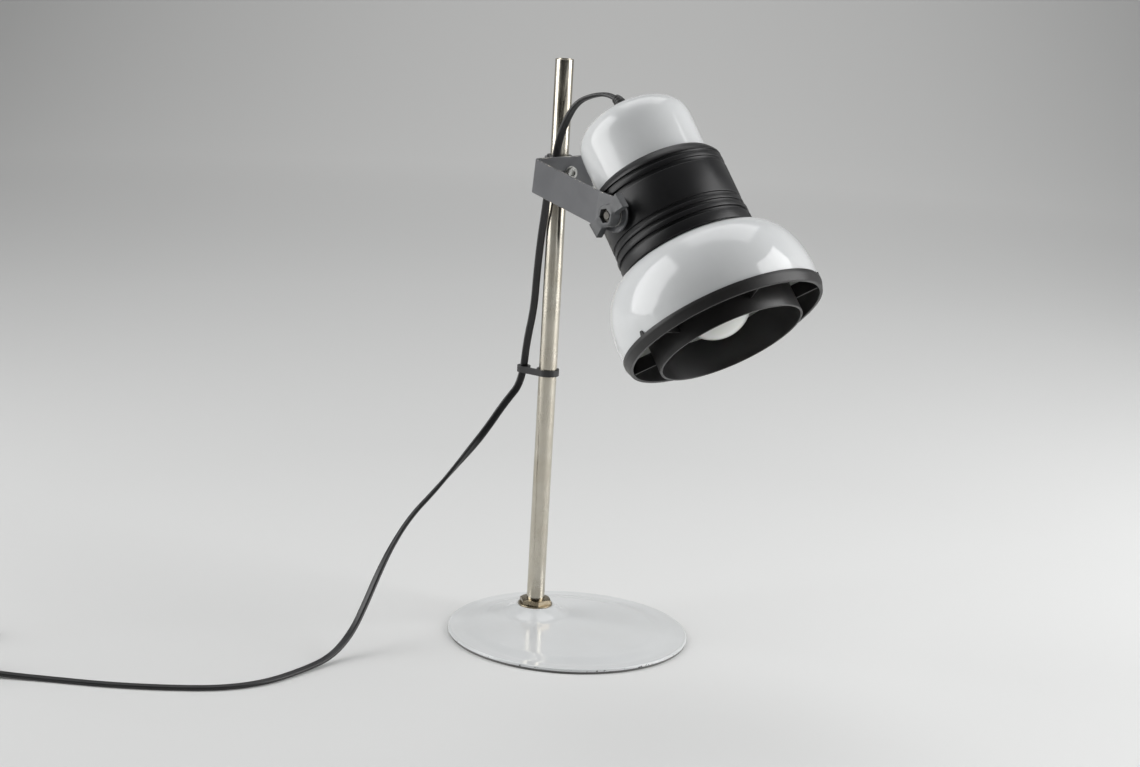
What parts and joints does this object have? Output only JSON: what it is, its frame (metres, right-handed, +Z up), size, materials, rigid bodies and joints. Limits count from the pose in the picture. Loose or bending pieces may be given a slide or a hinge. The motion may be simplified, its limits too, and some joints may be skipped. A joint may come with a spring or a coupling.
{
  "type": "desk lamp",
  "caption": "Desk lamp: a white spotlight head with a dark band and ring louvre in a yoke that slides and turns on a pole, on a round base, with a cord, a switch and a plug.",
  "frame": {"origin": "centre of the round base's underside, on the table", "axes": "+Z up along the pole; -Y the way the head looks at rest; +X to the right seen from behind the lamp"},
  "size_m": [0.6425, 0.5505, 0.475],
  "materials": {
    "enamel_white": "gloss",
    "shade_white": "gloss",
    "pole_nickel": "polished",
    "foot_hardware": "aged",
    "ballast_iron": "rough",
    "pad_rubber": "matt",
    "hidden_steel": "plain",
    "bush_plastic": "natural",
    "clamp_paint": "satin",
    "yoke_paint": "satin, chipped at the edges",
    "screw_steel": "plain",
    "wing_plastic": "satin",
    "band_plastic": "satin",
    "louvre_plastic": "satin",
    "holder_plastic": "satin",
    "holder_brass": "plain",
    "bulb_cap_metal": "satin",
    "bulb_frosted": "frosted",
    "gland_plastic": "satin",
    "clip_plastic": "satin",
    "cord_black": "satin",
    "core_plastic": "plain",
    "tie_plastic": "satin",
    "plug_plastic": "satin",
    "pin_metal": "plated",
    "switch_plastic": "satin",
    "rocker_plastic": "satin"
  },
  "bodies": {
    "stand": {"base_shell": "enamel_white", "base_weight": "ballast_iron", "base_pad": "pad_rubber", "pole": "pole_nickel", "foot_washer": "foot_hardware", "foot_nut": "foot_hardware", "under_washer": "hidden_steel", "under_nut": "hidden_steel", "cable_clip": "clip_plastic", "cord_drop": "cord_black", "cord_floor": "cord_black", "switch_base": "switch_plastic", "switch_cover": "switch_plastic", "switch_contacts": "holder_brass", "cord_switch_lead": "cord_black", "cord_coil": "cord_black", "cord_tie": "tie_plastic", "cord_tail": "cord_black", "plug_body": "plug_plastic", "plug_pins": "pin_metal"},
    "pole_bush": {"pole_bush": "bush_plastic", "cord_yoke_turn": "cord_black"},
    "yoke": {"pole_clamp": "clamp_paint", "yoke": "yoke_paint", "web_screw": "screw_steel", "web_washer": "screw_steel", "cord_head_loop": "cord_black"},
    "head": {"rear_cap": "shade_white", "centre_band": "band_plastic", "front_shade": "shade_white", "louvre": "louvre_plastic", "lampholder_shell": "holder_plastic", "lampholder_ring": "holder_plastic", "lampholder_insert": "bush_plastic", "lampholder_thread": "holder_brass", "centre_contact": "holder_brass", "threaded_tube": "hidden_steel", "cap_nut": "hidden_steel", "bulb_cap": "bulb_cap_metal", "bulb_glass": "bulb_frosted", "pivot_bolts": "screw_steel", "friction_washers": "bush_plastic", "outer_washers": "screw_steel", "far_pivot_nut": "screw_steel", "cord_gland": "gland_plastic", "inner_flex": "cord_black", "flex_cores": "core_plastic"},
    "wing_nut": {"wing_nut": "wing_plastic", "wing_insert": "screw_steel"},
    "switch_rocker": {"switch_rocker": "rocker_plastic"}
  },
  "joints": [
    {"name": "pole_slide", "type": "slide", "parent": "stand", "child": "pole_bush", "axis": [0, 0, 1], "range_m": [-0.1, 0.065], "deforming": ["cord_drop"]},
    {"name": "pole_swivel", "type": "hinge", "parent": "pole_bush", "child": "yoke", "pos_m": [0, 0.042, 0.3846], "axis": [0, 0, 1], "range_deg": [-150, 150], "deforming": ["cord_yoke_turn"]},
    {"name": "head_tilt", "type": "hinge", "parent": "yoke", "child": "head", "pos_m": [0, -0.08935, 0.37227], "axis": [-1, 0, 0], "range_deg": [-40, 75], "deforming": ["cord_head_loop"]},
    {"name": "wing_nut_turn", "type": "hinge", "parent": "head", "child": "wing_nut", "pos_m": [0, -0.08935, 0.37227], "axis": [-1, 0, 0], "range_deg": [0, 180]},
    {"name": "rocker_tilt", "type": "hinge", "parent": "stand", "child": "switch_rocker", "pos_m": [-0.47436, 0.19912, 0.0147], "axis": [-0.7331, -0.6801, 0], "range_deg": [-18, 0]}
  ]
}
